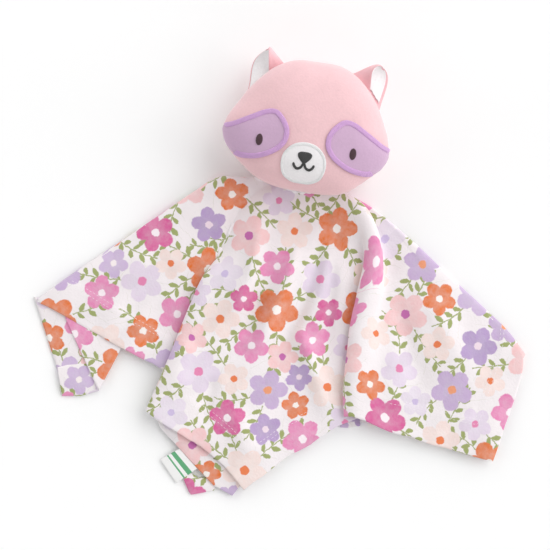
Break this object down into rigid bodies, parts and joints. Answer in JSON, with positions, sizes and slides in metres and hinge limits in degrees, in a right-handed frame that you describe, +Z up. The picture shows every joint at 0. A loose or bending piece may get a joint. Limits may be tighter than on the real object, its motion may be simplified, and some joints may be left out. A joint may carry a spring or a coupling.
{
  "type": "comfort blanket lovey",
  "caption": "Baby's comfort blanket: a folded square of flower-printed velour, sewn at its centre to a flat stuffed raccoon head with embroidered face and folded ears.",
  "frame": {"origin": "on the table under the neck, where the blanket is sewn to the head", "axes": "+X to the right across the blanket seen from above with the head at the top, along its longest side; +Y from the blanket to the head; +Z up from the table, along the thinnest side"},
  "size_m": [0.3739, 0.34, 0.0582],
  "materials": {
    "pink_velour": "short-pile velour, matte",
    "white_velour": "short-pile velour, matte",
    "fibre_fill": "loose polyester fibre",
    "lavender_velour": "short-pile velour, matte",
    "lavender_thread": "satin stitching, soft sheen",
    "dark_thread": "satin stitching, soft sheen",
    "charcoal_thread": "satin stitching, soft sheen",
    "white_thread": "satin stitching, soft sheen",
    "printed_velour": "short-pile velour with an all-over flower print, matte",
    "satin_ribbon": "woven satin, soft sheen"
  },
  "bodies": {
    "blanket": {"blanket_cloth": "printed_velour", "hem_stitching_left": "white_thread", "hem_stitching_centre": "white_thread", "hem_stitching_right": "white_thread"},
    "neck": {"neck_gather": "printed_velour"},
    "collar": {"neck_stitching": "white_thread"},
    "head": {"head_front_panel": "pink_velour", "head_back_panel": "pink_velour", "head_stuffing": "fibre_fill", "head_seam": "pink_velour", "eye_patch_left": "lavender_velour", "eye_patch_right": "lavender_velour", "eye_patch_border_left": "lavender_thread", "eye_patch_border_right": "lavender_thread", "eye_left": "dark_thread", "eye_right": "dark_thread", "muzzle_patch": "white_velour", "muzzle_border": "white_thread", "nose": "charcoal_thread", "mouth_left": "charcoal_thread", "mouth_right": "charcoal_thread"},
    "ear_left": {"ear_left_back": "pink_velour", "ear_left_lining": "white_velour"},
    "ear_right": {"ear_right_back": "pink_velour", "ear_right_lining": "white_velour"},
    "tag": {"side_tag": "satin_ribbon"}
  },
  "joints": [
    {"name": "head_swing", "type": "hinge", "parent": "blanket", "child": "neck", "pos_m": [-0.00086, -0.00543, 0.009], "axis": [0, 0, 1], "range_deg": [-12, 12], "deforming": ["neck_gather"]},
    {"name": "head_nod", "type": "hinge", "parent": "neck", "child": "collar", "pos_m": [-0.00086, -0.00543, 0.009], "axis": [0.9877, -0.1564, 0], "range_deg": [0, 35], "deforming": ["neck_gather", "neck_stitching"]},
    {"name": "head_turn", "type": "hinge", "parent": "collar", "child": "head", "pos_m": [-0.00086, -0.00543, 0.009], "axis": [0.1564, 0.9877, 0], "range_deg": [-6, 6], "deforming": ["neck_stitching"]},
    {"name": "ear_left_fold", "type": "hinge", "parent": "head", "child": "ear_left", "pos_m": [-0.02788, 0.07327, 0.02705], "axis": [-0.801, -0.5987, 0], "range_deg": [-18, 18]},
    {"name": "ear_right_fold", "type": "hinge", "parent": "head", "child": "ear_right", "pos_m": [0.04916, 0.06107, 0.02705], "axis": [0.5768, -0.8169, 0], "range_deg": [-18, 18]},
    {"name": "side_tag_flap", "type": "hinge", "parent": "blanket", "child": "tag", "pos_m": [-0.08474, -0.21244, 0.0034], "axis": [-0.6744, 0.7384, 0], "range_deg": [0, 80]}
  ]
}
